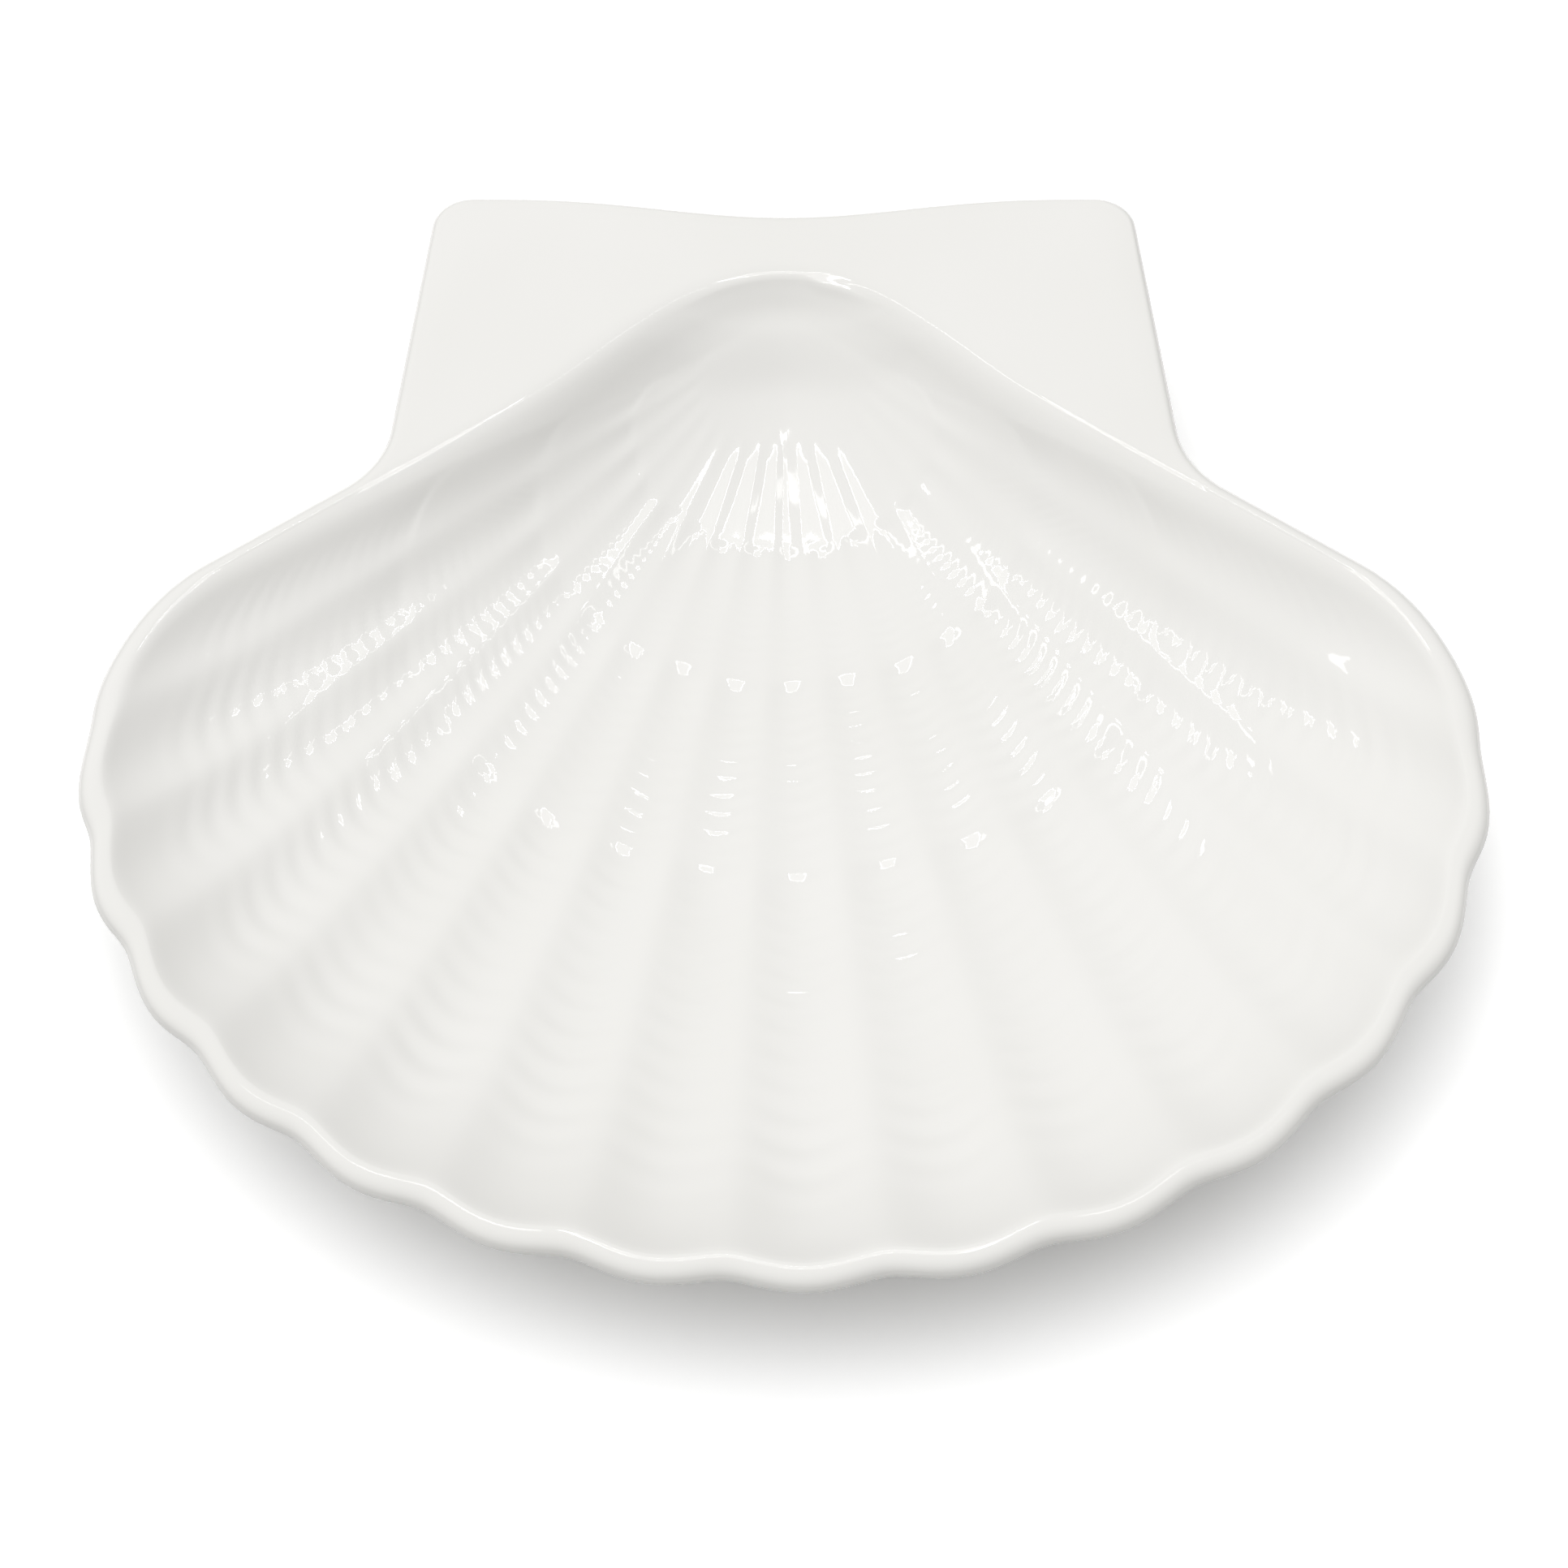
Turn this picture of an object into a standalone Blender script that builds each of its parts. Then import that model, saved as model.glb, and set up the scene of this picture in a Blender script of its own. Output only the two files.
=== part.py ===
"""Shell shaped platter: one piece of glazed porcelain, cast as a scallop shell.

The dish is a thin wall that follows a fan of channels. A flat panel stands at
the hinge end, runs on as a flange down both shoulders and becomes the rounded,
scalloped lip at the front. An oval foot ring carries it.

Lengths are metres and angles are degrees. +X is to the right, +Y is towards
the hinge panel and +Z is up. The plan is laid out from the umbo, the point
where the ribs meet, and the finished dish is centred on the origin.
"""
import bpy
import bmesh
import numpy as np
from mathutils import Vector
from mathutils.geometry import interpolate_bezier

# Plan of the shell
PLATTER_WIDTH = 0.300
UMBO_TO_FRONT = 0.2565
WIDEST_TO_FRONT = 0.1303
SIDE_RISE = 0.033
SIDE_ROUNDING = 0.027
SIDE_FULLNESS = (0.62, 0.38)
SHOULDER_ANGLE = 36.4
RIM_WIDTH = 0.0054
LOBE_BULGE = 0.0024
LOBE_FADE_ANGLE = 14.0

# Hinge panel
PANEL_BACK_WIDTH = 0.164
PANEL_NECK_WIDTH = 0.1806
PANEL_BEHIND_UMBO = 0.0317
PANEL_CORNER_RADIUS = 0.009
PANEL_BACK_DIP = 0.0056
PANEL_DIP_FULLNESS = (0.33, 0.42)
PANEL_STRAIGHT_SHARE = 0.8
NECK_RADIUS = 0.024

# Well
APEX_BEHIND_UMBO = 0.006
APEX_ROUNDING = 0.020
GABLE_HALF_WIDTH = 0.050
GABLE_ANGLE = 43.0
WELL_DEPTH = 0.0225
UMBO_DEPTH = 0.0150
FRONT_DEPTH = 0.0185
DEEPEST_SHARE = 0.41
EDGE_ROUNDING = 0.0050
APEX_WALL_REACH = 0.009
FRONT_WALL_REACH = 0.033

# Channels between the ribs, and growth steps across them
CHANNEL_COUNT = 16
FAN_HALF_ANGLE = 57.5
CHANNEL_WIDENING = 0.09
CHANNEL_DEPTH = 0.0013
CHANNEL_START_SHARE = 0.10
CHANNEL_FULL_SHARE = 0.45
RELIEF_EDGE_FADE = 0.006
GROWTH_STEP_SHARES = (0.245, 0.388, 0.590)
GROWTH_STEP_HEIGHT = 0.0005
GROWTH_STEP_WIDTH = 0.003
GROWTH_STEP_RECOVERY = 0.030

# Wall and foot ring
WALL_THICKNESS = 0.0046
STEEPEST_WALL_NORMAL = 0.6
LIP_RADIUS = 0.0021
FOOT_CLEARANCE = 0.003
FOOT_RING_WIDTH = 0.0045
FOOT_HALF_WIDTH = 0.066
FOOT_HALF_LENGTH = 0.048
FOOT_AHEAD_OF_UMBO = 0.106
FOOT_EDGE_RADIUS = 0.0008

# Fineness of the facets
FACETS_PER_CHANNEL = 4
WELL_ROWS = 16
CORNER_HALF_ANGLE = 54.0
CROWN_WIDTH_SHARE = 0.84
CROWN_ROWS_SHARE = 0.34
PANEL_FAN_ANGLE = 54.0
RELAXED_SHARE = 0.12
RELAXING_PASSES = 24
RIM_ROWS = (0.28, 0.56)
CURVE_STEPS = 40
FOOT_FACETS = 56
LIP_SEGMENTS = 3

PORCELAIN_WHITE = (0.86, 0.86, 0.84, 1.0)
PORCELAIN_ROUGHNESS = 0.08

HALF_WIDTH = PLATTER_WIDTH / 2
WIDEST_Y = WIDEST_TO_FRONT - UMBO_TO_FRONT
FAN_ANGLE = np.radians(FAN_HALF_ANGLE)
CORNER_ANGLE = np.radians(CORNER_HALF_ANGLE)
RIM_HEIGHT = WELL_DEPTH + CHANNEL_DEPTH + GROWTH_STEP_HEIGHT + WALL_THICKNESS + FOOT_CLEARANCE
MERGE_DISTANCE = 0.000001


def slope_direction(angle):
    """Unit vector down the right shoulder, at an angle below the X axis."""
    return np.array([np.cos(np.radians(angle)), -np.sin(np.radians(angle))])


def bezier(start, start_handle, end_handle, end):
    """Points along one curve segment."""
    knots = [Vector((p[0], p[1], 0.0)) for p in (start, start_handle, end_handle, end)]
    return [np.array(p[:2]) for p in interpolate_bezier(*knots, CURVE_STEPS)]


def rounded_corner(before, corner, after, radius):
    """Arc of a radius that rounds the corner between two straight edges."""
    arriving = (corner - before) / np.linalg.norm(corner - before)
    leaving = (after - corner) / np.linalg.norm(after - corner)
    turn = np.arccos(np.clip(arriving @ leaving, -1.0, 1.0))
    start = corner - arriving * radius * np.tan(turn / 2)
    end = corner + leaving * radius * np.tan(turn / 2)
    handle = radius * np.tan(turn / 4) * 4 / 3
    return bezier(start, start + arriving * handle, end - leaving * handle, end)


def shoulder_tip(inset):
    """Where the straight shoulder meets the side line, both moved in by an inset."""
    angle = np.radians(SHOULDER_ANGLE)
    lowered = inset / np.cos(angle) - inset * np.tan(angle)
    return np.array([HALF_WIDTH - inset, WIDEST_Y + SIDE_RISE - lowered])


def side_and_front(inset):
    """Right half of the margin: rounded side, then a quarter ellipse to the front."""
    tip = shoulder_tip(inset)
    start = tip - slope_direction(SHOULDER_ANGLE) * SIDE_ROUNDING
    widest = np.array([HALF_WIDTH - inset, WIDEST_Y])
    leaving, arriving = SIDE_FULLNESS
    points = bezier(start, start + (tip - start) * leaving, tip + (widest - tip) * arriving, widest)
    for turn in np.linspace(0.0, np.pi / 2, 3 * CURVE_STEPS)[1:]:
        across = widest[0] * np.cos(turn)
        points.append(np.array([across, WIDEST_Y - (WIDEST_TO_FRONT - inset) * np.sin(turn)]))
    return points


def outer_edge():
    """Right half of the outer edge, from the back middle to the front middle."""
    tip = shoulder_tip(0.0)
    down = slope_direction(SHOULDER_ANGLE)
    neck = tip - down * (tip[0] - PANEL_NECK_WIDTH / 2) / down[0]
    corner = np.array([PANEL_BACK_WIDTH / 2, PANEL_BEHIND_UMBO])
    middle = np.array([0.0, PANEL_BEHIND_UMBO - PANEL_BACK_DIP])
    dip_end = corner - np.array([PANEL_CORNER_RADIUS * (1 + PANEL_STRAIGHT_SHARE), 0.0])
    across = np.array([dip_end[0], 0.0])
    leaving, arriving = PANEL_DIP_FULLNESS
    points = bezier(middle, middle + across * leaving, dip_end - across * arriving, dip_end)
    points += rounded_corner(dip_end, corner, neck, PANEL_CORNER_RADIUS)
    points += rounded_corner(corner, neck, tip, NECK_RADIUS)
    return np.array(points + side_and_front(0.0))


def gable_end():
    """Where the gable over the apex meets the straight shoulder, on the well's edge."""
    tip = shoulder_tip(RIM_WIDTH)
    down = slope_direction(SHOULDER_ANGLE)
    return tip - down * (tip[0] - GABLE_HALF_WIDTH) / down[0]


def well_edge():
    """Right half of the well's edge: rounded apex, gable, shoulder, side and front."""
    apex = np.array([0.0, APEX_BEHIND_UMBO])
    down = slope_direction(SHOULDER_ANGLE)
    steep = slope_direction(GABLE_ANGLE)
    gable = gable_end()
    shoulder = shoulder_tip(RIM_WIDTH) - down * SIDE_ROUNDING
    points = bezier(apex, apex + np.array([APEX_ROUNDING, 0.0]), gable - steep * APEX_ROUNDING, gable)
    points += bezier(gable, gable + steep * APEX_ROUNDING, shoulder - down * APEX_ROUNDING, shoulder)
    return np.array(points + side_and_front(RIM_WIDTH))


OUTER_EDGE = outer_edge()
WELL_EDGE = well_edge()
WELL_MARGIN = np.array(side_and_front(RIM_WIDTH))
REAR_EDGE = WELL_EDGE[:WELL_EDGE[:, 0].argmax() + 1]
REAR_FOCUS = np.array([0.0, gable_end()[1] - GABLE_HALF_WIDTH / np.tan(np.radians(PANEL_FAN_ANGLE))])


def bearing(points):
    """Bearing of each point from the umbo in radians: zero at the front, positive right."""
    return np.arctan2(points[..., 0], -points[..., 1])


def margin_reach(angles):
    """Distance from the umbo to the well's side and front edge at each bearing."""
    order = np.argsort(bearing(WELL_MARGIN))
    return np.interp(np.abs(angles), bearing(WELL_MARGIN)[order], np.hypot(*WELL_MARGIN.T)[order])


def from_umbo(reach, angles):
    """Plan points at a distance and bearing from the umbo."""
    return np.stack([reach * np.sin(angles), -reach * np.cos(angles)], axis=-1)


def on_rear_edge(across):
    """Points of the well's rear edge at distances across from the middle."""
    return np.stack([across, np.interp(np.abs(across), *REAR_EDGE.T)], axis=-1)


def smooth_step(value, start, end):
    """Smooth rise from 0 at the start to 1 at the end."""
    share = np.clip((value - start) / (end - start), 0.0, 1.0)
    return share * share * (3 - 2 * share)


def rib_angles():
    """Bearing of every rib; the channels widen from the left side to the right."""
    share = np.linspace(0.0, 1.0, CHANNEL_COUNT + 1)
    return FAN_ANGLE * (2 * share - 1 + 2 * CHANNEL_WIDENING * (share ** 2 - share))


def column_angles():
    """Bearing of every column, a few to each channel, as far as the rounded side corners."""
    place = np.arange(CHANNEL_COUNT * FACETS_PER_CHANNEL + 1.0) / FACETS_PER_CHANNEL
    ribs = np.clip(rib_angles(), -CORNER_ANGLE, CORNER_ANGLE)
    return np.interp(place, np.arange(CHANNEL_COUNT + 1.0), ribs)


def channel_hollow(angles):
    """How far into a channel each bearing lies: 0 on a rib, 1 in the middle."""
    place = np.interp(angles, rib_angles(), np.arange(CHANNEL_COUNT + 1.0))
    return np.abs(np.sin(np.pi * place))


def inside_distance(points):
    """Distance from the well's edge to each point, negative out on the flange."""
    start = WELL_EDGE[:-1]
    along = WELL_EDGE[1:] - start
    folded = np.stack([np.abs(points[..., 0]), points[..., 1]], axis=-1)
    offset = folded[..., None, :] - start
    share = np.clip((offset * along).sum(-1) / np.maximum((along ** 2).sum(-1), 1e-12), 0.0, 1.0)
    gap = offset - share[..., None] * along
    distance = np.hypot(gap[..., 0], gap[..., 1])
    side = along[:, 1] * gap[..., 0] - along[:, 0] * gap[..., 1]
    nearest = distance.argmin(-1)[..., None]
    signed = np.take_along_axis(distance * np.sign(side), nearest, -1)
    return signed[..., 0]


def floor_depth(share):
    """Depth of the open floor: deepening from the umbo, then rising to the front."""
    deepening = (WELL_DEPTH - UMBO_DEPTH) * smooth_step(share, 0.0, DEEPEST_SHARE)
    rising = (WELL_DEPTH - FRONT_DEPTH) * smooth_step(share, DEEPEST_SHARE, 2 * DEEPEST_SHARE)
    return UMBO_DEPTH + deepening - rising


def growth_steps(reach):
    """Added depth of the growth steps: a quick drop outward, then a slow return."""
    depth = 0.0
    for share in GROWTH_STEP_SHARES:
        start = share * UMBO_TO_FRONT
        drop = smooth_step(reach, start, start + GROWTH_STEP_WIDTH)
        depth += GROWTH_STEP_HEIGHT * (drop - smooth_step(reach, start, start + GROWTH_STEP_RECOVERY))
    return depth


def surface_height(points):
    """Height of the upper surface at plan points."""
    angles = np.clip(bearing(points), -FAN_ANGLE, FAN_ANGLE)
    reach = np.hypot(points[..., 0], points[..., 1])
    share = reach / margin_reach(angles)
    inside = inside_distance(points)
    eased = np.where(inside < EDGE_ROUNDING, (inside + EDGE_ROUNDING) ** 2 / (4 * EDGE_ROUNDING), inside)
    eased = np.where(inside < -EDGE_ROUNDING, 0.0, eased)
    wall_reach = APEX_WALL_REACH + (FRONT_WALL_REACH - APEX_WALL_REACH) * reach / UMBO_TO_FRONT
    relief = CHANNEL_DEPTH * smooth_step(share, CHANNEL_START_SHARE, CHANNEL_FULL_SHARE)
    relief = relief * channel_hollow(angles) + growth_steps(share * UMBO_TO_FRONT)
    depth = floor_depth(share) * (1 - np.exp(-eased / wall_reach))
    return RIM_HEIGHT - depth - relief * (1 - np.exp(-eased / RELIEF_EDGE_FADE))


def scalloped(points):
    """Plan points pushed outward between the ribs, most at the front margin."""
    angles = bearing(points)
    share = np.clip(np.hypot(points[..., 0], points[..., 1]) / margin_reach(angles), 0.0, 1.0)
    fade = smooth_step(FAN_ANGLE - np.abs(angles), 0.0, np.radians(LOBE_FADE_ANGLE))
    return points + from_umbo(LOBE_BULGE * fade * share ** 2 * channel_hollow(angles), angles)


def row_shares():
    """Rows of the well as shares of its reach, with a pair at every growth step."""
    steps = np.array(GROWTH_STEP_SHARES)
    edge = np.array([0.0, 0.8, 2.2]) * EDGE_ROUNDING / UMBO_TO_FRONT
    fixed = np.concatenate([edge, steps, steps + GROWTH_STEP_WIDTH / UMBO_TO_FRONT, 1 - edge])
    even = np.linspace(0.0, 1.0, WELL_ROWS + 1)
    clear = [share for share in even if np.min(np.abs(fixed - share)) > 0.4 / WELL_ROWS]
    return np.sort(np.concatenate([fixed, clear]))


def well_plan():
    """Plan of the well: rows follow the growth lines and columns follow the channels."""
    shares = row_shares()
    angles = column_angles()
    place = angles / CORNER_ANGLE
    reach = shares[:, None] * margin_reach(angles)
    rays = from_umbo(reach, np.broadcast_to(angles, reach.shape))
    crown = on_rear_edge(CROWN_WIDTH_SHARE * GABLE_HALF_WIDTH * np.linspace(-1.0, 1.0, len(angles)))
    shoulder_x = crown[-1, 0] + (rays[-1, -1, 0] - crown[-1, 0]) * shares
    end_shift = on_rear_edge(shoulder_x) - rays[:, -1]
    near_edge = smooth_step(np.abs(place), 1 - 4 / CHANNEL_COUNT, 1.0)
    mirrored = np.stack([np.sign(place), np.ones_like(place)], axis=-1)
    plan = rays + near_edge[:, None] * mirrored * end_shift[:, None, :]
    opening = 1 - smooth_step(shares, 0.0, CROWN_ROWS_SHARE)
    return relaxed(plan + opening[:, None, None] * (crown - plan[0]), shares, place)


def relaxed(plan, shares, place):
    """Even out the rows and columns that would crowd beside the crown and shoulders."""
    beside_crown = 1 - smooth_step(shares[1:-1, None], 0.0, RELAXED_SHARE)
    beside_shoulder = smooth_step(np.abs(place[1:-1]), 1 - 2 / CHANNEL_COUNT, 1.0)
    pull = np.maximum(beside_crown * place[1:-1] ** 2, beside_shoulder)[..., None]
    for _ in range(RELAXING_PASSES):
        between = (plan[:-2, 1:-1] + plan[2:, 1:-1] + plan[1:-1, :-2] + plan[1:-1, 2:]) / 4
        plan[1:-1, 1:-1] += pull * (between - plan[1:-1, 1:-1])
    return plan


def perimeter(plan):
    """Closed loop round the well's plan, counter-clockwise from the front left corner."""
    front, right, back, left = plan[-1], plan[::-1, -1], plan[0, ::-1], plan[:, 0]
    return np.concatenate([front[:-1], right[:-1], back[:-1], left])


def cross(first, second):
    """Flat cross product of plan vectors."""
    return first[..., 0] * second[..., 1] - first[..., 1] * second[..., 0]


def outward(points):
    """Directions in which the flange leaves the right half of the well's edge.

    They point away from the umbo along the front, straight out from the edge at
    the side and down the shoulder, and away from the rear focus round the apex.
    """
    from_front = points / np.linalg.norm(points, axis=-1, keepdims=True)
    from_rear = points - REAR_FOCUS
    from_rear /= np.linalg.norm(from_rear, axis=-1, keepdims=True)
    nearest = np.linalg.norm(points[:, None] - WELL_EDGE, axis=-1).argmin(-1)
    along = np.gradient(WELL_EDGE, axis=0)[nearest]
    from_edge = np.stack([-along[:, 1], along[:, 0]], axis=-1) / np.linalg.norm(along, axis=-1, keepdims=True)
    side = smooth_step(bearing(points), CORNER_ANGLE - np.radians(LOBE_FADE_ANGLE), CORNER_ANGLE)[:, None]
    behind = points[:, 1] > WIDEST_Y
    rear = (behind * smooth_step(-points[:, 0], -2 * GABLE_HALF_WIDTH, -GABLE_HALF_WIDTH))[:, None]
    return (from_front * (1 - side) + from_edge * side) * (1 - rear) + from_rear * rear


def out_to_edge(inner):
    """Points of the outer edge that face points of the well's edge."""
    folded = np.stack([np.abs(inner[:, 0]), inner[:, 1]], axis=-1)
    start, along = OUTER_EDGE[:-1], np.diff(OUTER_EDGE, axis=0)
    found = []
    for point, ray in zip(folded, outward(folded)):
        turn = cross(ray, along)
        turn = np.where(np.abs(turn) > 1e-12, turn, np.inf)
        ahead = cross(start - point, along) / turn
        share = cross(start - point, ray) / turn
        met = (ahead > 0) & (share >= -1e-6) & (share <= 1 + 1e-6) & np.isfinite(turn)
        found.append(point + ray * ahead[met].min())
    found = np.array(found)
    return np.stack([np.copysign(found[:, 0], inner[:, 0]), found[:, 1]], axis=-1)


def flange_plan(inner):
    """Plan of the flange and panel: loops from the outer edge in to the well's edge."""
    outer = out_to_edge(inner)
    width = np.linalg.norm(outer - inner, axis=-1, keepdims=True)
    loops = [outer]
    for share in sorted(RIM_ROWS, reverse=True):
        distance = RIM_WIDTH * share + (width - RIM_WIDTH) * share ** 2 / 2
        loops.append(inner + (outer - inner) * distance / width)
    return np.array(loops + [inner])


def bend_grid(surface, plan):
    """Add a grid to the surface and bend it to the plan and the height of the shell."""
    rows, columns = plan.shape[:2]
    made = bmesh.ops.create_grid(surface, x_segments=columns - 1, y_segments=rows - 1, size=1.0)
    heights = surface_height(plan).ravel()
    for vertex, place, height in zip(made["verts"], scalloped(plan).reshape(-1, 2), heights):
        vertex.co = (place[0], place[1], height)


def shell_mesh():
    """Wall of the dish: its upper surface, and a copy lowered by the wall's thickness.

    The copy goes straight down, by more where the surface is steep, so that the
    wall keeps its thickness and can't meet itself under the tight apex.
    """
    well = well_plan()
    surface = bmesh.new()
    bend_grid(surface, well[::-1])
    bend_grid(surface, flange_plan(perimeter(well)))
    bmesh.ops.remove_doubles(surface, verts=surface.verts, dist=MERGE_DISTANCE)
    surface.normal_update()
    under = bmesh.ops.extrude_face_region(surface, geom=surface.faces, use_keep_orig=True)["geom"]
    for vertex in (item for item in under if isinstance(item, bmesh.types.BMVert)):
        vertex.co.z -= WALL_THICKNESS / max(vertex.normal.z, STEEPEST_WALL_NORMAL)
    bmesh.ops.recalc_face_normals(surface, faces=surface.faces)
    mesh = bpy.data.meshes.new("platter")
    surface.to_mesh(mesh)
    surface.free()
    return mesh


def foot_mesh():
    """Oval band from the table up into the middle of the wall."""
    band = bmesh.new()
    lower = bmesh.ops.create_circle(band, segments=FOOT_FACETS, radius=1.0)["verts"]
    for vertex in lower:
        vertex.co = (vertex.co.x * FOOT_HALF_WIDTH, vertex.co.y * FOOT_HALF_LENGTH - FOOT_AHEAD_OF_UMBO, 0.0)
    risen = bmesh.ops.extrude_edge_only(band, edges=band.edges)["geom"]
    for vertex in (item for item in risen if isinstance(item, bmesh.types.BMVert)):
        vertex.co.z = surface_height(np.array(vertex.co[:2])) - WALL_THICKNESS / 2
    bmesh.ops.recalc_face_normals(band, faces=band.faces)
    mesh = bpy.data.meshes.new("foot_ring_form")
    band.to_mesh(mesh)
    band.free()
    return mesh


def new_object(name, mesh, collection):
    """Object in a collection, smooth apart from its sharp edges."""
    obj = bpy.data.objects.new(name, mesh)
    collection.objects.link(obj)
    mesh.shade_smooth()
    mesh.set_sharp_from_angle(angle=np.radians(40))
    return obj


def new_collection(name):
    """Collection linked to the scene."""
    collection = bpy.data.collections.new(name)
    bpy.context.scene.collection.children.link(collection)
    return collection


def thicken(obj, name, thickness, offset):
    """Give an open surface its wall."""
    wall = obj.modifiers.new(name, "SOLIDIFY")
    wall.thickness = thickness
    wall.offset = offset


def round_edges(obj, name, radius, segments):
    """Round the edges that turn by more than sixty degrees."""
    rounding = obj.modifiers.new(name, "BEVEL")
    rounding.width = radius
    rounding.segments = segments
    rounding.limit_method = "ANGLE"
    rounding.angle_limit = np.radians(60)


def porcelain():
    """Glossy white glazed porcelain."""
    material = bpy.data.materials.new("glazed_porcelain")
    material.use_nodes = True
    shader = material.node_tree.nodes["Principled BSDF"]
    shader.inputs["Base Color"].default_value = PORCELAIN_WHITE
    shader.inputs["Roughness"].default_value = PORCELAIN_ROUGHNESS
    shader.inputs["Metallic"].default_value = 0.0
    return material


def build():
    """The platter: the shell's wall with its foot ring joined to it."""
    for obj in list(bpy.data.objects):
        bpy.data.objects.remove(obj, do_unlink=True)
    foot = new_object("foot_ring_form", foot_mesh(), new_collection("joined_forms"))
    thicken(foot, "band", FOOT_RING_WIDTH, 0.0)
    round_edges(foot, "soft edges", FOOT_EDGE_RADIUS, 1)
    foot.display_type = "WIRE"
    foot.hide_render = True
    platter = new_object("platter", shell_mesh(), new_collection("shell_platter"))
    platter.data.materials.append(porcelain())
    round_edges(platter, "rounded lip", LIP_RADIUS, LIP_SEGMENTS)
    union = platter.modifiers.new("foot ring", "BOOLEAN")
    union.operation = "UNION"
    union.solver = "EXACT"
    union.object = foot
    for obj in (foot, platter):
        obj.location.y = (UMBO_TO_FRONT + LOBE_BULGE - PANEL_BEHIND_UMBO) / 2


build()
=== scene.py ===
import bmesh
import bpy
import numpy as np
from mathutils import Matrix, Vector
from mathutils.geometry import interpolate_bezier


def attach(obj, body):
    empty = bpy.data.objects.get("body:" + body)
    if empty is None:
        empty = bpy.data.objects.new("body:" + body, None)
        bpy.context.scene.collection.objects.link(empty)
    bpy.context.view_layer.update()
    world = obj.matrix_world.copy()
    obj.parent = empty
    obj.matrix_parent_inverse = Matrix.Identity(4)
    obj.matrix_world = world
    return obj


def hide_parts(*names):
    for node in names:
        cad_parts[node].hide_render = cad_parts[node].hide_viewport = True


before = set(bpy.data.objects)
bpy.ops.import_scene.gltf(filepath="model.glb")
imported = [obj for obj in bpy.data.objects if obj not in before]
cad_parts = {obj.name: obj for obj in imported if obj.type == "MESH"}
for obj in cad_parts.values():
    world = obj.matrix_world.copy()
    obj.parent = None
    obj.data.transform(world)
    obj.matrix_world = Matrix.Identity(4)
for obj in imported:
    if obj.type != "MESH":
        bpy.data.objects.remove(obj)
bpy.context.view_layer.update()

# Outline of the shell, as a plan laid out from the umbo, the point where the
# ribs meet. Metres throughout; the dish stands with its middle on the origin.
WIDTH, FRONT, WIDEST = 0.2998, 0.2564, -0.1262
SHOULDER_SLOPE = np.radians(36.4)
SIDE_RISE, SIDE_ROUNDING = 0.033, 0.027
RIM_WIDTH, LOBE_BULGE, LOBE_FADE = 0.0054, 0.0024, np.radians(14)
PANEL_WIDTH, NECK_WIDTH, PANEL_BACK, PANEL_DIP = 0.164, 0.1806, 0.0317, 0.0056
PANEL_CORNER, NECK_CORNER = 0.009, 0.024
APEX_BACK, APEX_HANDLE, GABLE_X, GABLE_SLOPE = 0.006, 0.020, 0.050, np.radians(43)
RIM_HEIGHT, WALL = 0.031899, 0.0046
FAN, FAN_CORNER = np.radians(57.5), np.radians(54)
CHANNELS, WIDENING = 16, 0.09
MIDDLE_Y = (FRONT + LOBE_BULGE - PANEL_BACK) / 2


def down_slope(angle):
    return np.array([np.cos(angle), -np.sin(angle)])


def bezier(start, first, second, end, steps=60):
    knots = [Vector((p[0], p[1], 0)) for p in (start, first, second, end)]
    return [np.array(p[:2]) for p in interpolate_bezier(*knots, steps)]


def rounded_corner(before, corner, after, radius):
    arriving = (corner - before) / np.linalg.norm(corner - before)
    leaving = (after - corner) / np.linalg.norm(after - corner)
    turn = np.arccos(arriving @ leaving)
    start = corner - arriving * radius * np.tan(turn / 2)
    end = corner + leaving * radius * np.tan(turn / 2)
    handle = radius * np.tan(turn / 4) * 4 / 3
    return bezier(start, start + arriving * handle, end - leaving * handle, end)


def shoulder_tip(inset):
    lowered = inset / np.cos(SHOULDER_SLOPE) - inset * np.tan(SHOULDER_SLOPE)
    return np.array([WIDTH / 2 - inset, WIDEST + SIDE_RISE - lowered])


def side_and_front(inset):
    tip = shoulder_tip(inset)
    start = tip - down_slope(SHOULDER_SLOPE) * SIDE_ROUNDING
    widest = np.array([WIDTH / 2 - inset, WIDEST])
    points = bezier(start, start + (tip - start) * 0.62, tip + (widest - tip) * 0.38, widest)
    turn = np.linspace(0, np.pi / 2, 400)[1:]
    ellipse = [widest[0] * np.cos(turn), WIDEST - (FRONT + WIDEST - inset) * np.sin(turn)]
    return np.concatenate([points, np.stack(ellipse, axis=-1)])


def outer_half():
    tip = shoulder_tip(0)
    down = down_slope(SHOULDER_SLOPE)
    neck = tip - down * (tip[0] - NECK_WIDTH / 2) / down[0]
    corner = np.array([PANEL_WIDTH / 2, PANEL_BACK])
    middle = np.array([0, PANEL_BACK - PANEL_DIP])
    dip_end = corner - np.array([PANEL_CORNER * 1.8, 0])
    across = np.array([dip_end[0], 0])
    back = bezier(middle, middle + across * 0.33, dip_end - across * 0.42, dip_end)
    corners = rounded_corner(dip_end, corner, neck, PANEL_CORNER)
    corners += rounded_corner(corner, neck, tip, NECK_CORNER)
    return np.concatenate([back, corners, side_and_front(0)])


def gable_end():
    tip, down = shoulder_tip(RIM_WIDTH), down_slope(SHOULDER_SLOPE)
    return tip - down * (tip[0] - GABLE_X) / down[0]


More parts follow.
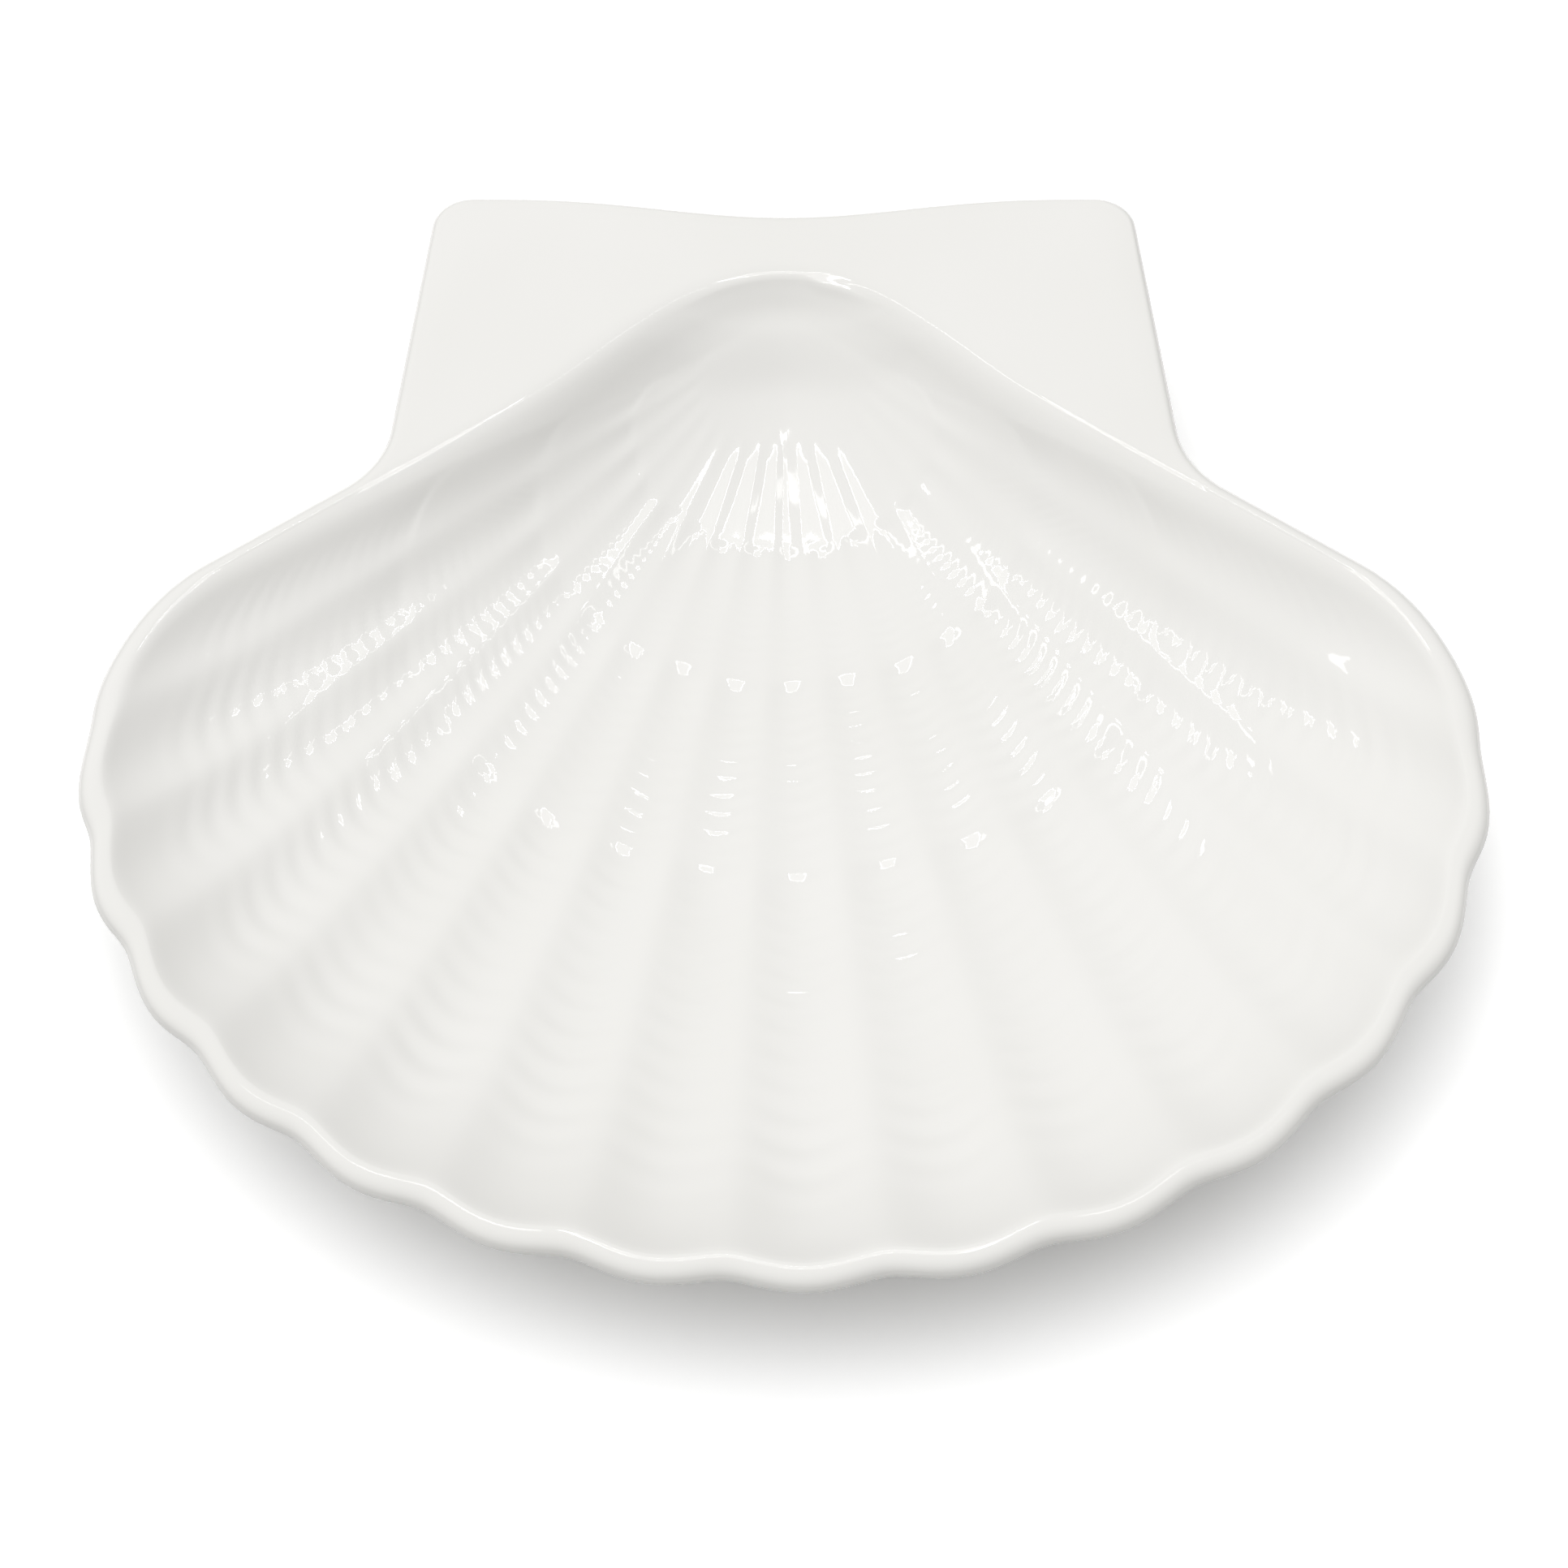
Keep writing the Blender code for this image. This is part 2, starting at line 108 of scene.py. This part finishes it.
def well_half():
    apex, gable = np.array([0, APEX_BACK]), gable_end()
    down, steep = down_slope(SHOULDER_SLOPE), down_slope(GABLE_SLOPE)
    shoulder = shoulder_tip(RIM_WIDTH) - down * SIDE_ROUNDING
    crown = bezier(apex, apex + np.array([APEX_HANDLE, 0]), gable - steep * APEX_HANDLE, gable)
    slope = bezier(gable, gable + steep * APEX_HANDLE, shoulder - down * APEX_HANDLE, shoulder)
    return np.concatenate([crown, slope, side_and_front(RIM_WIDTH)])


OUTER, WELL, MARGIN = outer_half(), well_half(), side_and_front(RIM_WIDTH)
REAR = WELL[:WELL[:, 0].argmax() + 1]
REAR_FOCUS = np.array([0, gable_end()[1] - GABLE_X / np.tan(np.radians(54))])


def bearing(points):
    return np.arctan2(points[..., 0], -points[..., 1])


def margin_reach(angles):
    order = np.argsort(bearing(MARGIN))
    return np.interp(np.abs(angles), bearing(MARGIN)[order], np.hypot(*MARGIN.T)[order])


def from_umbo(reach, angles):
    return np.stack([reach * np.sin(angles), -reach * np.cos(angles)], axis=-1)


def rise(value, start, end):
    share = np.clip((value - start) / (end - start), 0, 1)
    return share * share * (3 - 2 * share)


# Relief of the well: a steep wall under the apex with a broad thumb swell, a
# crescent crease and a thin ledge on its edge, a soft wall at the front, hollow
# channels between low ribs, three growth steps and fine growth ridges.
DEEPEST, UMBO_DEPTH, FRONT_DEPTH, DEEPEST_AT = 0.0215, 0.0155, 0.0180, 0.41
REAR_ROUNDING, FRONT_ROUNDING, APEX_REACH, FRONT_REACH = 0.0045, 0.0011, 0.0145, 0.035
CHANNEL_DEPTH, CREST_WIDTH, FINE_RIB_DEPTH, RELIEF_FADE = 0.0009, 0.55, 0.00011, 0.006
STEPS, STEP_HEIGHTS = (0.228, 0.374, 0.576), (0.00026, 0.00036, 0.00048)
STEP_WIDTH, STEP_RETURN, STEP_UNEVEN, STEP_WAVE = 0.005, 0.026, 0.0006, 0.011
STEP_CALM_AT, STEP_CALM = 0.01, 0.018
RIDGE_RATIO, RIDGE_SLOPE, RIDGE_BOW = 0.038, 0.023, 0.3
THUMB_WIDTH, THUMB_REACH, THUMB_HEIGHT = 0.034, 0.025, 0.0016
CRESCENT_WIDTH, CRESCENT_REACH, CRESCENT_DEPTH = 0.024, 0.011, 0.0003
LEDGE_WIDTH, LEDGE_HEIGHT = 0.0011, 0.00022
LEDGE_LEFT, LEDGE_RIGHT, LEDGE_STEP = (-0.026, -0.012), (0.013, 0.021), (0.004, 0.009)
LEDGE_PLACE, LEDGE_SHIFT, LEDGE_END = -0.0008, 0.0010, -0.03
KNEE_DEPTH, KNEE_START, KNEE_END, KNEE_FADE = 0.0014, 0.010, 0.058, 0.10
KNEE_FAN, LIP_BLEND = np.radians(15), (0.10, 0.20)


def rib_bearings():
    share = np.linspace(0, 1, CHANNELS + 1)
    return FAN * (2 * share - 1 + 2 * WIDENING * (share ** 2 - share))


def channel_place(angles):
    return np.interp(angles, rib_bearings(), np.arange(CHANNELS + 1.0))


def channel_hollow(angles):
    swing = np.sin(np.pi * channel_place(angles))
    return (np.hypot(swing, CREST_WIDTH) - CREST_WIDTH) / (np.hypot(1, CREST_WIDTH) - CREST_WIDTH)


def inside_distance(points):
    start, along = WELL[:-1], np.diff(WELL, axis=0)
    length = np.maximum((along ** 2).sum(-1), 1e-14)
    found = []
    for point in points.reshape(-1, 2):
        offset = np.array([abs(point[0]), point[1]]) - start
        share = np.clip((offset * along).sum(-1) / length, 0, 1)
        gap = offset - share[:, None] * along
        nearest = (gap ** 2).sum(-1).argmin()
        side = along[nearest, 1] * gap[nearest, 0] - along[nearest, 0] * gap[nearest, 1]
        found.append(np.copysign(np.hypot(*gap[nearest]), side))
    return np.array(found).reshape(points.shape[:-1])


def growth_steps(reach, place, hollow):
    depth = 0
    uneven = STEP_UNEVEN * np.sin(2.3 * place + reach / STEP_WAVE)
    for share, height in zip(STEPS, STEP_HEIGHTS):
        start = share * FRONT + uneven
        depth += height * rise(reach, start, start + STEP_WIDTH)
        depth -= height * rise(reach, start, start + STEP_RETURN)
    return depth * (0.15 + 0.85 * hollow)


def growth_ridges(share, place, hollow):
    wander = 0.35 * np.sin(1.9 * place + 7 * share) + 0.25 * np.sin(4.3 * place - 13 * share)
    turns = np.log(np.maximum(share, 0.05)) / RIDGE_RATIO - RIDGE_BOW * hollow
    wave = np.cos(2 * np.pi * turns + wander)
    strength = 0.68 + 0.02 * place
    strength += 0.35 * np.sin(2.7 * place + 11 * share) * np.sin(1.3 * place - 17 * share)
    fade = rise(share, 0.21, 0.55) * (1 - rise(share, 0.86, 0.97)) * (0.2 + 0.8 * hollow)
    fade *= 1 - 0.75 * rise(np.abs(place - CHANNELS / 2), 6.4, 7.6)
    for step in STEPS:
        fade *= 1 - np.exp(-((share - step - STEP_CALM_AT) / STEP_CALM) ** 2)
    return RIDGE_SLOPE * RIDGE_RATIO * share * FRONT * wave * strength * fade


def crescent(points, inside, width, length):
    across = 1 - (points[..., 0] / width) ** 2
    shown = (across > 0) & (inside > 0) & (points[..., 1] > -width)
    along = inside / (length * np.maximum(across, 0.01))
    return np.where(shown & (along < 1), np.sin(np.pi * along), 0), np.maximum(across, 0)


def apex_ledge(points, inside):
    across = points[..., 0]
    shown = rise(across, *LEDGE_LEFT) * (1 - rise(across, *LEDGE_RIGHT)) * (points[..., 1] > LEDGE_END)
    stepped = rise(across, *LEDGE_STEP)
    place = LEDGE_PLACE + LEDGE_SHIFT * stepped
    return LEDGE_HEIGHT * (1 + 0.7 * stepped) * shown * np.exp(-((inside - place) / LEDGE_WIDTH) ** 2)


def upper_height(points, fine=1.0):
    angles = np.clip(bearing(points), -FAN, FAN)
    reach = np.hypot(points[..., 0], points[..., 1])
    share = reach / margin_reach(angles)
    inside = inside_distance(points)
    rounding = REAR_ROUNDING + (FRONT_ROUNDING - REAR_ROUNDING) * rise(reach, *LIP_BLEND)
    eased = np.where(inside < rounding, (inside + rounding) ** 2 / (4 * rounding), inside)
    eased = np.where(inside < -rounding, 0, eased)
    floor = UMBO_DEPTH + (DEEPEST - UMBO_DEPTH) * rise(share, 0, DEEPEST_AT)
    floor -= (DEEPEST - FRONT_DEPTH) * rise(share, DEEPEST_AT, 2 * DEEPEST_AT)
    wall_reach = APEX_REACH + (FRONT_REACH - APEX_REACH) * reach / FRONT
    place, hollow = channel_place(angles), channel_hollow(angles)
    relief = (CHANNEL_DEPTH * rise(share, 0.22, 0.90) + FINE_RIB_DEPTH * rise(share, 0.12, 0.15)) * hollow
    knee = rise(reach, KNEE_START, KNEE_END) - rise(reach, KNEE_END, KNEE_FADE)
    relief += KNEE_DEPTH * knee * (1 - rise(np.abs(angles), KNEE_FAN, FAN))
    relief += growth_steps(share * FRONT, place, hollow)
    relief += fine * growth_ridges(share, place, hollow)
    depth = floor * (1 - np.exp(-eased / wall_reach))
    swell, thumb_across = crescent(points, inside, THUMB_WIDTH, THUMB_REACH)
    crease, crease_across = crescent(points, inside, CRESCENT_WIDTH, CRESCENT_REACH)
    edge = apex_ledge(points, inside) + THUMB_HEIGHT * thumb_across ** 2 * swell ** 2
    edge -= CRESCENT_DEPTH * crease_across * crease
    return RIM_HEIGHT - depth + fine * edge - relief * (1 - np.exp(-eased / RELIEF_FADE))


# The dish itself: a fine grid bent along ribs and growth lines for the well,
# a second one for the flange, panel and rounded lip, and two coarser grids
# underneath, bridged to the lip.
CROWN_HALF_WIDTH, CROWN_ROWS, RIB_GATHERING = 0.042, 0.34, 0.3
LIP_CROWN, LIP_TURNS, FLANGE_LOOPS, FLANGE_GATHERING = 0.0013, 13, 11, 2.1
UNDER_LOOPS, MERGED = (0.92, 0.7, 0.45, 0.2, 0.0), 1e-6
ROWS_BELOW, ROWS_PAST, ROWS_UNDER, ROWS_TURN = 38, 226, 61, 0.2


def scalloped(points):
    angles = bearing(points)
    share = np.clip(np.hypot(points[..., 0], points[..., 1]) / margin_reach(angles), 0, 1)
    bulge = LOBE_BULGE * rise(FAN - np.abs(angles), 0, LOBE_FADE) * share ** 2 * channel_hollow(angles)
    return points + from_umbo(bulge, angles)


def on_rear(across):
    return np.stack([across, np.interp(np.abs(across), *REAR.T)], axis=-1)


def well_plan(shares, angles, passes):
    place = angles / FAN_CORNER
    columns = np.broadcast_to(angles, (len(shares), len(angles)))
    rays = from_umbo(shares[:, None] * margin_reach(angles), columns)
    crown = on_rear(CROWN_HALF_WIDTH * np.linspace(-1, 1, len(angles)))
    shoulder = on_rear(crown[-1, 0] + (rays[-1, -1, 0] - crown[-1, 0]) * shares)
    near_edge = rise(np.abs(place), 1 - 4 / CHANNELS, 1)
    mirrored = np.stack([np.sign(place), np.ones_like(place)], axis=-1)
    plan = rays + near_edge[:, None] * mirrored * (shoulder - rays[:, -1])[:, None, :]
    plan = plan + (1 - rise(shares, 0, CROWN_ROWS))[:, None, None] * (crown - plan[0])
    beside_crown = (1 - rise(shares[1:-1, None], 0, 0.12)) * place[1:-1] ** 2
    pull = np.maximum(beside_crown, rise(np.abs(place[1:-1]), 1 - 2 / CHANNELS, 1))[..., None]
    for _ in range(passes):
        between = (plan[:-2, 1:-1] + plan[2:, 1:-1] + plan[1:-1, :-2] + plan[1:-1, 2:]) / 4
        plan[1:-1, 1:-1] += pull * (between - plan[1:-1, 1:-1])
    return plan


def perimeter(plan):
    return np.concatenate([plan[-1][:-1], plan[::-1, -1][:-1], plan[0, ::-1][:-1], plan[:, 0]])


def cross(first, second):
    return first[..., 0] * second[..., 1] - first[..., 1] * second[..., 0]


def outward(points):
    from_front = points / np.linalg.norm(points, axis=-1, keepdims=True)
    from_rear = points - REAR_FOCUS
    from_rear /= np.linalg.norm(from_rear, axis=-1, keepdims=True)
    along = np.gradient(WELL, axis=0)
    along /= np.linalg.norm(along, axis=-1, keepdims=True)
    nearest = np.array([((point - WELL) ** 2).sum(-1).argmin() for point in points])
    from_edge = np.stack([-along[nearest, 1], along[nearest, 0]], axis=-1)
    side = rise(bearing(points), FAN_CORNER - LOBE_FADE, FAN_CORNER)[:, None]
    behind = (points[:, 1] > WIDEST)[:, None]
    rear = behind * rise(-points[:, 0], -2 * GABLE_X, -GABLE_X)[:, None]
    return (from_front * (1 - side) + from_edge * side) * (1 - rear) + from_rear * rear


def out_to_edge(inner):
    folded = np.stack([np.abs(inner[:, 0]), inner[:, 1]], axis=-1)
    start, along = OUTER[:-1], np.diff(OUTER, axis=0)
    found = []
    for point, ray in zip(folded, outward(folded)):
        turn = cross(ray, along)
        turn = np.where(np.abs(turn) > 1e-12, turn, np.inf)
        ahead, share = cross(start - point, along) / turn, cross(start - point, ray) / turn
        met = (ahead > 0) & (share >= -1e-6) & (share <= 1 + 1e-6) & np.isfinite(turn)
        found.append(point + ray * ahead[met].min())
    found = np.array(found)
    return np.stack([np.copysign(found[:, 0], inner[:, 0]), found[:, 1]], axis=-1)


def bend_grid(bm, places):
    rows, columns = places.shape[:2]
    made = bmesh.ops.create_grid(bm, x_segments=columns - 1, y_segments=rows - 1, size=1)
    for vertex, place in zip(made["verts"], places.reshape(-1, 3)):
        vertex.co = place
    return made["verts"]


def raised(plan, heights):
    heights = np.broadcast_to(heights, plan.shape[:-1])
    return np.concatenate([scalloped(plan), heights[..., None]], axis=-1)


def gathered(columns_each):
    place = np.arange(CHANNELS * columns_each + 1) / columns_each
    place = place - RIB_GATHERING * np.sin(2 * np.pi * place) / (2 * np.pi)
    ribs = np.clip(rib_bearings(), -FAN_CORNER, FAN_CORNER)
    return np.interp(place, np.arange(CHANNELS + 1.0), ribs)


def around(well):
    inner = perimeter(well)
    outer = out_to_edge(inner)
    width = np.linalg.norm(outer - inner, axis=-1, keepdims=True)
    return inner, outer, width, (outer - inner) / width


def upper_and_lip(bm, shares, angles):
    well = well_plan(shares, angles, 400)
    bend_grid(bm, raised(well, upper_height(well))[::-1])
    inner, outer, width, ahead = around(well)
    loops = []
    radius = WALL / 2
    top = radius + LIP_CROWN * (RIM_WIDTH / width) ** 2
    for turn in np.linspace(np.pi, 0, LIP_TURNS):
        plan = outer - ahead * (top if turn < np.pi / 2 else radius) * (1 - np.sin(turn))
        loops.append(raised(plan, RIM_HEIGHT - radius * (1 - np.cos(turn))))
    for share in np.linspace(1, 0, FLANGE_LOOPS + 1)[1:] ** FLANGE_GATHERING:
        plan = inner + ahead * (width - top) * share
        loops.append(raised(plan, upper_height(plan)))
    bend_grid(bm, np.array(loops))


def underside(bm, shares, angles):
    well = well_plan(shares, angles, 40)
    inner, outer, width, ahead = around(well)
    loops = np.array([inner + ahead * ((width - WALL / 2) * share) for share in UNDER_LOOPS])
    made = bend_grid(bm, raised(well, upper_height(well, 0.0)))
    made += bend_grid(bm, raised(loops, upper_height(loops, 0.0))[::-1])
    bmesh.ops.remove_doubles(bm, verts=made, dist=MERGED)
    kept = [vertex for vertex in made if vertex.is_valid]
    for vertex in kept:
        vertex.normal_update()
    for vertex in kept:
        vertex.co.z -= WALL / max(abs(vertex.normal.z), 0.6)


def piece_from(bm, name):
    mesh = bpy.data.meshes.new(name)
    bm.to_mesh(mesh)
    bm.free()
    mesh.shade_smooth()
    piece = bpy.data.objects.new(name, mesh)
    bpy.context.scene.collection.objects.link(piece)
    return piece


rows_below = ROWS_TURN * np.linspace(0, 1, ROWS_BELOW, endpoint=False) ** 1.15
rows_past = ROWS_TURN * (1 / ROWS_TURN) ** np.linspace(0, 1, ROWS_PAST)
dish = bmesh.new()
underside(dish, np.linspace(0, 1, ROWS_UNDER), gathered(6))
under_edge = [edge for edge in dish.edges if edge.is_boundary]
upper_and_lip(dish, np.concatenate([rows_below, rows_past]), gathered(16))
bmesh.ops.remove_doubles(dish, verts=dish.verts, dist=MERGED)
lip_edge = [edge for edge in dish.edges if edge.is_boundary and edge not in set(under_edge)]
bmesh.ops.bridge_loops(dish, edges=under_edge + lip_edge)
bmesh.ops.recalc_face_normals(dish, faces=dish.faces)
bmesh.ops.translate(dish, verts=dish.verts, vec=(0, MIDDLE_Y, 0))
platter = piece_from(dish, "platter_porcelain")


def linear(hex_colour, alpha=1.0):
    channels = [int(hex_colour[i:i + 2], 16) / 255 for i in (0, 2, 4)]
    return [c / 12.92 if c <= 0.04045 else ((c + 0.055) / 1.055) ** 2.4 for c in channels] + [alpha]


def node(tree, kind, settings=None, **links):
    made = tree.nodes.new(kind)
    for name, value in (settings or {}).items():
        if hasattr(made, name):
            setattr(made, name, value)
        else:
            made.inputs[name].default_value = value
    for name, source in links.items():
        tree.links.new(source, made.inputs[name.replace("_", " ")])
    return made


# Glazed porcelain: a white body under a clear glaze. Very slow changes of tone
# and gloss keep it from looking like plastic, and a faint waviness of the glaze
# breaks up the edges of reflections.
CLOUD_SIZE, RIPPLE_SIZE, RIPPLE_HEIGHT = 0.0556, 0.00625, 0.00006
glaze = bpy.data.materials.new("glazed_porcelain")
glaze.use_nodes = True
tree = glaze.node_tree
shader = tree.nodes["Principled BSDF"]
place = tree.nodes.new("ShaderNodeTexCoord").outputs["Object"]
cloud = node(tree, "ShaderNodeTexNoise", {"Scale": 1 / CLOUD_SIZE, "Detail": 2.0}, Vector=place)
tone = node(tree, "ShaderNodeValToRGB", Fac=cloud.outputs["Fac"])
tone.color_ramp.elements[0].color = linear("EBEAE6")
tone.color_ramp.elements[1].color = linear("F0EFEC")
tree.links.new(tone.outputs["Color"], shader.inputs["Base Color"])
gloss = {"To Min": 0.025, "To Max": 0.045}
sheen = node(tree, "ShaderNodeMapRange", gloss, Value=cloud.outputs["Fac"])
tree.links.new(sheen.outputs["Result"], shader.inputs["Roughness"])
ripple = node(tree, "ShaderNodeTexNoise", {"Scale": 1 / RIPPLE_SIZE, "Detail": 1.0}, Vector=place)
waviness = {"Strength": 0.25, "Distance": RIPPLE_HEIGHT}
bump = node(tree, "ShaderNodeBump", waviness, Height=ripple.outputs["Fac"])
tree.links.new(bump.outputs["Normal"], shader.inputs["Normal"])
shader.inputs["IOR"].default_value = 1.5
platter.data.materials.append(glaze)
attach(platter, "root")
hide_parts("platter")


# Foot ring: a low oval band that flares into the underside, with its flat
# bottom wiped clean of glaze, so that the bare, matt porcelain shows there.
FOOT_X, FOOT_Y, FOOT_AHEAD, FOOT_WIDTH = 0.066, 0.048, 0.106, 0.0045
FOOT_FLARE, FOOT_BITE, TO_UNDERSIDE, GRAIN_SIZE, WIPED = 0.0022, 0.0008, 1.0, 0.00111, 0.0002
half = FOOT_WIDTH / 2
flank = [(-half - FOOT_FLARE, TO_UNDERSIDE), (-half - 0.0006, 0.0022), (-half, 0.0010)]
flank += [(-half + 0.0003, 0.0003), (-half + 0.0008, 0)]
turns = np.linspace(0, 2 * np.pi, 193)
rows = []
for across, height in flank + [(-across, height) for across, height in reversed(flank)]:
    sides = (FOOT_X + across) * np.cos(turns)
    lengths = (FOOT_Y + across) * np.sin(turns) - FOOT_AHEAD
    plan = np.stack([sides, lengths], axis=-1)
    top = upper_height(plan, 0.0) - WALL + FOOT_BITE
    heights = top if height == TO_UNDERSIDE else np.minimum(top, height)
    rows.append(np.concatenate([plan, heights[:, None]], axis=-1))
foot = bmesh.new()
bend_grid(foot, np.array(rows))
bmesh.ops.remove_doubles(foot, verts=foot.verts, dist=MERGED)
bmesh.ops.bridge_loops(foot, edges=[edge for edge in foot.edges if edge.is_boundary])
bmesh.ops.recalc_face_normals(foot, faces=foot.faces)
bmesh.ops.translate(foot, verts=foot.verts, vec=(0, MIDDLE_Y, 0))
foot_ring = piece_from(foot, "foot_ring")

# Unglazed porcelain: warmer than the glaze, matt, with a grain that is only
# just seen, so that the wiped foot looks like dry clay beside the gloss.
bare = bpy.data.materials.new("unglazed_porcelain")
bare.use_nodes = True
tree = bare.node_tree
place = tree.nodes.new("ShaderNodeTexCoord").outputs["Object"]
grain = node(tree, "ShaderNodeTexNoise", {"Scale": 1 / GRAIN_SIZE, "Detail": 3.0}, Vector=place)
tone = node(tree, "ShaderNodeValToRGB", Fac=grain.outputs["Fac"])
tone.color_ramp.elements[0].color = linear("D9D5CB")
tone.color_ramp.elements[1].color = linear("E6E3DA")
tree.links.new(tone.outputs["Color"], tree.nodes["Principled BSDF"].inputs["Base Color"])
tree.nodes["Principled BSDF"].inputs["Roughness"].default_value = 0.75
foot_ring.data.materials.append(glaze)
foot_ring.data.materials.append(bare)
for face in foot_ring.data.polygons:
    face.material_index = int(face.center.z < WIPED)
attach(foot_ring, "root")
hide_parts("platter")


# Table: a matt white sheet that is pure white to the eye and in reflections,
# and pale grey to the light that it passes on, so that the shadow of the
# dish stays soft and its underside isn't lit too strongly from below.
TABLE_HALF_SIZE = 6
floor = bmesh.new()
bmesh.ops.create_grid(floor, x_segments=1, y_segments=1, size=TABLE_HALF_SIZE)
table = piece_from(floor, "table")


def larger(tree, first, second):
    either = node(tree, "ShaderNodeMath", {"operation": "MAXIMUM"})
    tree.links.new(first, either.inputs[0])
    tree.links.new(second, either.inputs[1])
    return either.outputs[0]


white = bpy.data.materials.new("white_table")
white.use_nodes = True
tree = white.node_tree
shader = tree.nodes["Principled BSDF"]
shader.inputs["Roughness"].default_value = 1.0
shader.inputs["Specular IOR Level"].default_value = 0.0
rays = tree.nodes.new("ShaderNodeLightPath").outputs
seen = larger(tree, rays["Is Camera Ray"], rays["Is Glossy Ray"])
tint = node(tree, "ShaderNodeMix", {"data_type": "RGBA"})
tree.links.new(larger(tree, seen, rays["Is Transmission Ray"]), tint.inputs["Factor"])
tint.inputs["A"].default_value = linear("BEBEBD")
tint.inputs["B"].default_value = (1.40, 1.40, 1.40, 1)
tree.links.new(tint.outputs["Result"], shader.inputs["Base Color"])
table.data.materials.append(white)


# Surround: even white that dims towards the horizon, with a broad brighter
# part above on the left, which sets the soft tones of the walls and lobes.
BRIGHTER_SIDE = Vector((-0.29, 0.23, 0.84)).normalized()
world = bpy.data.worlds.new("surround")
world.use_nodes = True
tree = world.node_tree
direction = tree.nodes.new("ShaderNodeTexCoord").outputs["Generated"]
upward = node(tree, "ShaderNodeSeparateXYZ", Vector=direction)
by_height = {"From Min": 0.0, "From Max": 0.7, "To Min": 0.16, "To Max": 0.64}
even = node(tree, "ShaderNodeMapRange", by_height, Value=upward.outputs["Z"])
facing = node(tree, "ShaderNodeVectorMath", {"operation": "DOT_PRODUCT"})
tree.links.new(direction, facing.inputs[0])
facing.inputs[1].default_value = BRIGHTER_SIDE
by_side = {"interpolation_type": "SMOOTHSTEP", "From Min": 0.35, "From Max": 1.0}
by_side.update({"To Min": 0.0, "To Max": 0.835})
broad = node(tree, "ShaderNodeMapRange", by_side, Value=facing.outputs["Value"])
total = node(tree, "ShaderNodeMath", {"operation": "ADD"})
tree.links.new(even.outputs["Result"], total.inputs[0])
tree.links.new(broad.outputs["Result"], total.inputs[1])
tree.links.new(total.outputs[0], tree.nodes["Background"].inputs["Strength"])
tree.nodes["Background"].inputs["Color"].default_value = (1, 1, 1, 1)
bpy.context.scene.world = world


# Lamps: a framed softbox overhead, whose bright rim draws the small looped
# glints on the growth steps, and a narrow strip on each side of it, which
# draws the crisp white line along the crest of the lip.
BOX_PLACE, BOX_WIDTH, BOX_LENGTH, RIM_BAR, RIM_DROP = (0.0, 0.52, 1.16), 0.20, 0.14, 0.007, 0.004
BOX_RADIANCE, RIM_RADIANCE, STRIP_TURN = 1.4, 20, np.radians(27)


def area_light(name, place, size, radiance, turn=0.0):
    lamp = bpy.data.lights.new(name, "AREA")
    lamp.shape = "RECTANGLE"
    lamp.size, lamp.size_y = size
    lamp.energy = radiance * np.pi * size[0] * size[1]
    obj = bpy.data.objects.new(name, lamp)
    obj.location = place
    obj.rotation_euler = (-Vector(place)).to_track_quat("-Z", "Y").to_euler()
    obj.rotation_euler.rotate_axis("Z", turn)
    bpy.context.scene.collection.objects.link(obj)
    return obj


area_light("softbox", BOX_PLACE, (BOX_WIDTH, BOX_LENGTH), BOX_RADIANCE)
area_light("left_strip", (-0.22, 0.515, 1.16), (0.19, 0.034), 4.5, -STRIP_TURN)
area_light("right_strip", (0.22, 0.52, 1.16), (0.15, 0.018), 4, STRIP_TURN)
for name, across, along, size in (
    ("softbox_left_rim", -0.5, 0, (RIM_BAR, BOX_LENGTH)),
    ("softbox_right_rim", 0.5, 0, (RIM_BAR, BOX_LENGTH)),
    ("softbox_near_rim", 0, -0.5, (BOX_WIDTH, RIM_BAR)),
    ("softbox_far_rim", 0, 0.5, (BOX_WIDTH, RIM_BAR)),
):
    rim = area_light(name, BOX_PLACE, size, RIM_RADIANCE)
    shift = Vector((across * BOX_WIDTH, along * BOX_LENGTH, -RIM_DROP))
    rim.location = Vector(BOX_PLACE) + rim.rotation_euler.to_matrix() @ shift


# Camera: a long lens that looks down on the dish from in front, at the angle
# at which the rim of the photographed dish lies in one plane.
CAMERA_PLACE, CAMERA_TILT, LENS, SENSOR = (0, -0.54065, 0.7691), np.radians(35), 96.9, 36
camera = bpy.data.cameras.new("camera")
camera.lens, camera.sensor_width = LENS, SENSOR
camera_object = bpy.data.objects.new("camera", camera)
camera_object.location = CAMERA_PLACE
camera_object.rotation_euler = (CAMERA_TILT, 0, 0)
bpy.context.scene.collection.objects.link(camera_object)
bpy.context.scene.camera = camera_object
bpy.context.scene.view_settings.view_transform = "Standard"
